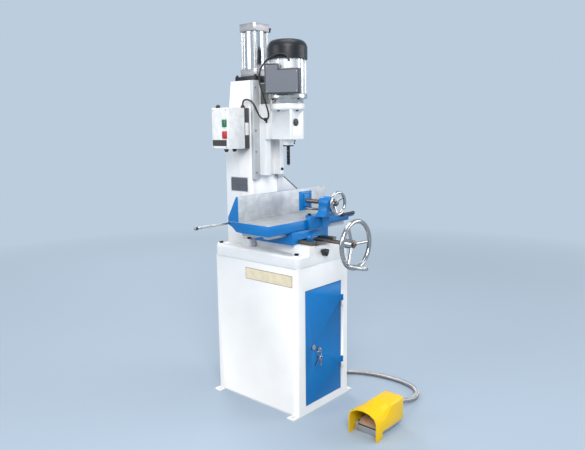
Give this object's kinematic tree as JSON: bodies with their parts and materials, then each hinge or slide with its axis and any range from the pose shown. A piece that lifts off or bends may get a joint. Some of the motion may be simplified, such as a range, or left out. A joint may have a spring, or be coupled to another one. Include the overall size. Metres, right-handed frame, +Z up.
{
  "type": "mortiser",
  "caption": "Floor-standing pneumatic hollow-chisel mortiser on a cabinet stand with sliding table, fence, screw vise and foot switch",
  "frame": {"origin": "on the floor, at the centre of the rectangle of four floor-bolt holes in the cabinet's tabs", "axes": "+X to the operator's right, +Y to the back of the machine, +Z up along the floor bolts and the spindle"},
  "size_m": [0.8226, 0.806, 1.568],
  "materials": {
    "blue_paint": "semi-gloss",
    "cream_paint": "semi-gloss",
    "cast_grey": "machined",
    "way_brown": "oiled",
    "steel": "brushed",
    "dark_steel": "blackened",
    "chrome": "polished",
    "bronze": "machined",
    "aluminium": "satin",
    "black_paint": "satin",
    "grey_paint": "satin",
    "yellow_paint": "gloss",
    "black_plastic": "matte",
    "green_plastic": "gloss",
    "red_plastic": "gloss",
    "white_plastic": "satin",
    "black_rubber": "matte"
  },
  "bodies": {
    "stand": {"cabinet_shell": "cream_paint", "hinge_pins": "steel", "bed": "cream_paint", "machine_bolts": "dark_steel", "column": "cream_paint", "guide_plates": "cast_grey", "chip_guard": "cream_paint", "cylinder_plate": "black_paint", "cylinder_caps": "aluminium", "cylinder_tube": "aluminium", "tie_rods": "steel", "switch_base": "grey_paint", "switch_cover": "white_plastic", "glands_and_fittings": "black_plastic", "head_lead": "black_rubber", "foot_base": "aluminium", "foot_guard": "yellow_paint", "treadle_spring": "steel", "foot_conduit": "steel"},
    "door": {"door_panel": "blue_paint", "lock_barrel": "chrome"},
    "lock": {"lock_plug_and_key": "chrome"},
    "keys": {"key_ring": "steel"},
    "head": {"head_slide": "cream_paint", "head_casting": "cream_paint", "access_plug": "black_plastic", "chisel_bush": "dark_steel", "hollow_chisel": "dark_steel", "motor_housing": "aluminium", "motor_end_shield": "aluminium", "fan_cowl": "black_paint", "terminal_box": "grey_paint", "motor_gland": "white_plastic", "lead_clip": "black_plastic", "motor_lead": "black_rubber", "piston_rod": "chrome"},
    "spindle": {"rotor_shaft": "steel", "cooling_fan": "black_plastic", "drill_chuck": "dark_steel", "auger_bit": "steel"},
    "start": {"start_button": "green_plastic"},
    "stop": {"stop_button": "red_plastic"},
    "cross_slide": {"saddle": "blue_paint", "saddle_gibs": "bronze", "bushes_and_nut": "bronze"},
    "cross_feed": {"cross_screw": "steel", "cross_knob": "black_plastic"},
    "work_table": {"table": "cast_grey", "fence": "cast_grey", "rack": "steel", "vise_body": "blue_paint"},
    "table_feed": {"pinion_shaft": "steel", "handwheel": "chrome"},
    "grip": {"crank_grip": "dark_steel"},
    "jaw": {"vise_jaw": "blue_paint"},
    "vise_feed": {"vise_screw": "steel", "vise_handwheel": "chrome"},
    "end_stop": {"stop_rod": "steel"},
    "clamp_lever": {"lock_lever": "black_plastic"},
    "pedal": {"foot_treadle": "aluminium"}
  },
  "joints": [
    {"name": "door_hinge", "type": "hinge", "parent": "stand", "child": "door", "pos_m": [0.119, -0.237, 0.25], "axis": [0, 0, 1], "range_deg": [0, 60]},
    {"name": "lock_turn", "type": "hinge", "parent": "door", "child": "lock", "pos_m": [-0.071, -0.233, 0.271], "axis": [0, 1, 0], "range_deg": [-90, 0]},
    {"name": "ring_swing", "type": "hinge", "parent": "lock", "child": "keys", "pos_m": [-0.071, -0.266, 0.2569], "axis": [0, 1, 0], "range_deg": [-60, 60]},
    {"name": "head_travel", "type": "slide", "parent": "stand", "child": "head", "axis": [0, 0, 1], "range_m": [-0.125, 0], "deforming": ["head_lead"]},
    {"name": "spindle_turn", "type": "hinge", "parent": "head", "child": "spindle", "pos_m": [0, -0.048, 1.2], "axis": [0, 0, 1], "continuous": true},
    {"name": "start_press", "type": "slide", "parent": "stand", "child": "start", "axis": [1, 0, 0], "range_m": [0, 0.004], "stiffness_N_per_m": 300, "springref_m": -0.003},
    {"name": "stop_press", "type": "slide", "parent": "stand", "child": "stop", "axis": [1, 0, 0], "range_m": [0, 0.004], "stiffness_N_per_m": 300, "springref_m": -0.003},
    {"name": "saddle_slide", "type": "slide", "parent": "stand", "child": "cross_slide", "axis": [0, 1, 0], "range_m": [-0.035, 0.008]},
    {"name": "cross_turn", "type": "hinge", "parent": "stand", "child": "cross_feed", "pos_m": [-0.012, -0.225, 0.655], "axis": [0, 1, 0], "range_deg": [-3151, 721]},
    {"name": "table_slide", "type": "slide", "parent": "cross_slide", "child": "work_table", "axis": [1, 0, 0], "range_m": [-0.1, 0.1]},
    {"name": "feed_turn", "type": "hinge", "parent": "cross_slide", "child": "table_feed", "pos_m": [0, -0.3, 0.699], "axis": [0, 1, 0], "range_deg": [-359, 359]},
    {"name": "grip_spin", "type": "hinge", "parent": "table_feed", "child": "grip", "pos_m": [-0.05602, -0.43, 0.62729], "axis": [0, 1, 0], "continuous": true},
    {"name": "jaw_slide", "type": "slide", "parent": "work_table", "child": "jaw", "axis": [0, 1, 0], "range_m": [-0.075, 0]},
    {"name": "vise_turn", "type": "hinge", "parent": "jaw", "child": "vise_feed", "pos_m": [0.058, -0.2, 0.843], "axis": [0, 1, 0], "range_deg": [-6752, 1]},
    {"name": "stop_slide", "type": "slide", "parent": "work_table", "child": "end_stop", "axis": [1, 0, 0], "range_m": [-0.09, 0.008]},
    {"name": "lever_turn", "type": "hinge", "parent": "work_table", "child": "clamp_lever", "pos_m": [0.205, -0.17, 0.774], "axis": [0, 1, 0], "range_deg": [0, 60]},
    {"name": "treadle_press", "type": "hinge", "parent": "stand", "child": "pedal", "pos_m": [-0.08, -0.508, 0.033], "axis": [0, 1, 0], "range_deg": [0, 9], "stiffness_Nm_per_rad": 4, "springref_deg": -6.88, "deforming": ["treadle_spring"]}
  ],
  "couplings": [
    {"joint": "cross_turn", "follows": "saddle_slide", "rad_per_m": 1570.8},
    {"joint": "feed_turn", "follows": "table_slide", "rad_per_m": 62.5},
    {"joint": "vise_turn", "follows": "jaw_slide", "rad_per_m": 1570.8}
  ]
}
